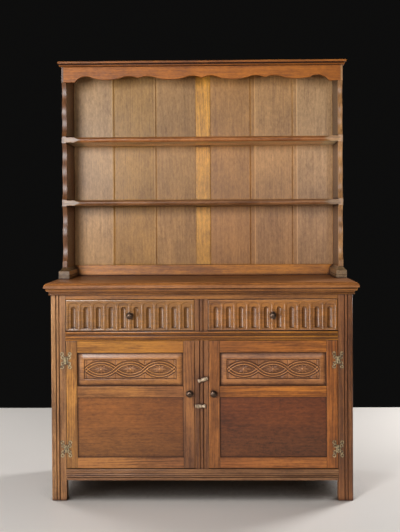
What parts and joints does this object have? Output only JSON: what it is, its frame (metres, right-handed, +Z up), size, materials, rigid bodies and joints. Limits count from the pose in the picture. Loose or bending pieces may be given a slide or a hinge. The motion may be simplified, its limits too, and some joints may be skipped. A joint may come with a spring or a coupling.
{
  "type": "welsh dresser",
  "caption": "Oak dresser: a shallow plate rack with a wavy frieze over a base with fluted drawers and panelled doors.",
  "frame": {"origin": "on the floor, under the middle of the whole piece", "axes": "+Z up, +X to the right seen from the front, -Y out of the front"},
  "size_m": [1.22, 0.466, 1.75],
  "materials": {
    "oak": "stained and waxed, satin",
    "grey_oak": "stained, dull",
    "honey_oak": "stained, satin",
    "dark_oak": "stained and waxed, satin",
    "inner_oak": "bare, dull",
    "plywood": "bare, dull",
    "dark_knob": "dark stained, polished",
    "aged_brass": "antiqued, dull",
    "turned_brass": "worn, satin"
  },
  "bodies": {
    "carcass": {"back_boards_left": "grey_oak", "back_boards_right": "grey_oak", "back_muntin": "honey_oak", "back_panels": "plywood", "back_rails": "inner_oak", "bottom_rail": "oak", "centre_runner": "inner_oak", "cupboard_floor": "inner_oak", "cupboard_shelf": "inner_oak", "door_muntin": "oak", "drawer_kicker": "inner_oak", "drawer_muntin": "oak", "end_panel_left": "oak", "end_panel_right": "oak", "end_rails_left": "oak", "end_rails_right": "oak", "frieze": "oak", "front_leg_left": "oak", "front_leg_right": "oak", "hinge_leg_leaves": "aged_brass", "hinge_pins": "aged_brass", "lower_shelf": "oak", "middle_rail": "oak", "rack_back_rail": "oak", "rack_foot_left": "oak", "rack_foot_right": "oak", "rack_side_left": "oak", "rack_side_right": "oak", "rack_top": "oak", "rear_leg_left": "oak", "rear_leg_right": "oak", "shelf_bearers": "inner_oak", "side_runners": "inner_oak", "top_board": "oak", "top_rail": "oak", "turn_button_screws": "turned_brass", "under_top_moulding": "oak", "upper_shelf": "oak"},
    "left_drawer": {"left_drawer_front": "oak", "left_drawer_sides_and_back": "inner_oak", "left_drawer_bottom": "plywood", "left_drawer_knob": "dark_knob"},
    "right_drawer": {"right_drawer_front": "oak", "right_drawer_sides_and_back": "inner_oak", "right_drawer_bottom": "plywood", "right_drawer_knob": "dark_knob"},
    "left_door": {"left_door_stiles": "oak", "left_door_rails": "oak", "left_door_carved_panel": "oak", "left_door_plain_panel": "oak", "left_door_knob": "dark_knob", "left_door_hinge_leaves": "aged_brass"},
    "right_door": {"right_door_stiles": "oak", "right_door_rails": "oak", "right_door_carved_panel": "oak", "right_door_plain_panel": "dark_oak", "right_door_knob": "dark_knob", "right_door_hinge_leaves": "aged_brass"},
    "upper_button": {"upper_turn_button": "turned_brass"},
    "lower_button": {"lower_turn_button": "turned_brass"}
  },
  "joints": [
    {"name": "left_drawer_slide", "type": "slide", "parent": "carcass", "child": "left_drawer", "axis": [0, -1, 0], "range_m": [0, 0.28]},
    {"name": "right_drawer_slide", "type": "slide", "parent": "carcass", "child": "right_drawer", "axis": [0, -1, 0], "range_m": [0, 0.28]},
    {"name": "left_door_hinge", "type": "hinge", "parent": "carcass", "child": "left_door", "pos_m": [-0.52825, -0.2108, 0.3745], "axis": [0, 0, -1], "range_deg": [0, 170]},
    {"name": "right_door_hinge", "type": "hinge", "parent": "carcass", "child": "right_door", "pos_m": [0.52825, -0.2108, 0.3745], "axis": [0, 0, 1], "range_deg": [0, 170]},
    {"name": "upper_button_turn", "type": "hinge", "parent": "carcass", "child": "upper_button", "pos_m": [0.013, -0.207, 0.475], "axis": [0, -1, 0], "continuous": true},
    {"name": "lower_button_turn", "type": "hinge", "parent": "carcass", "child": "lower_button", "pos_m": [-0.013, -0.207, 0.37], "axis": [0, -1, 0], "continuous": true}
  ]
}
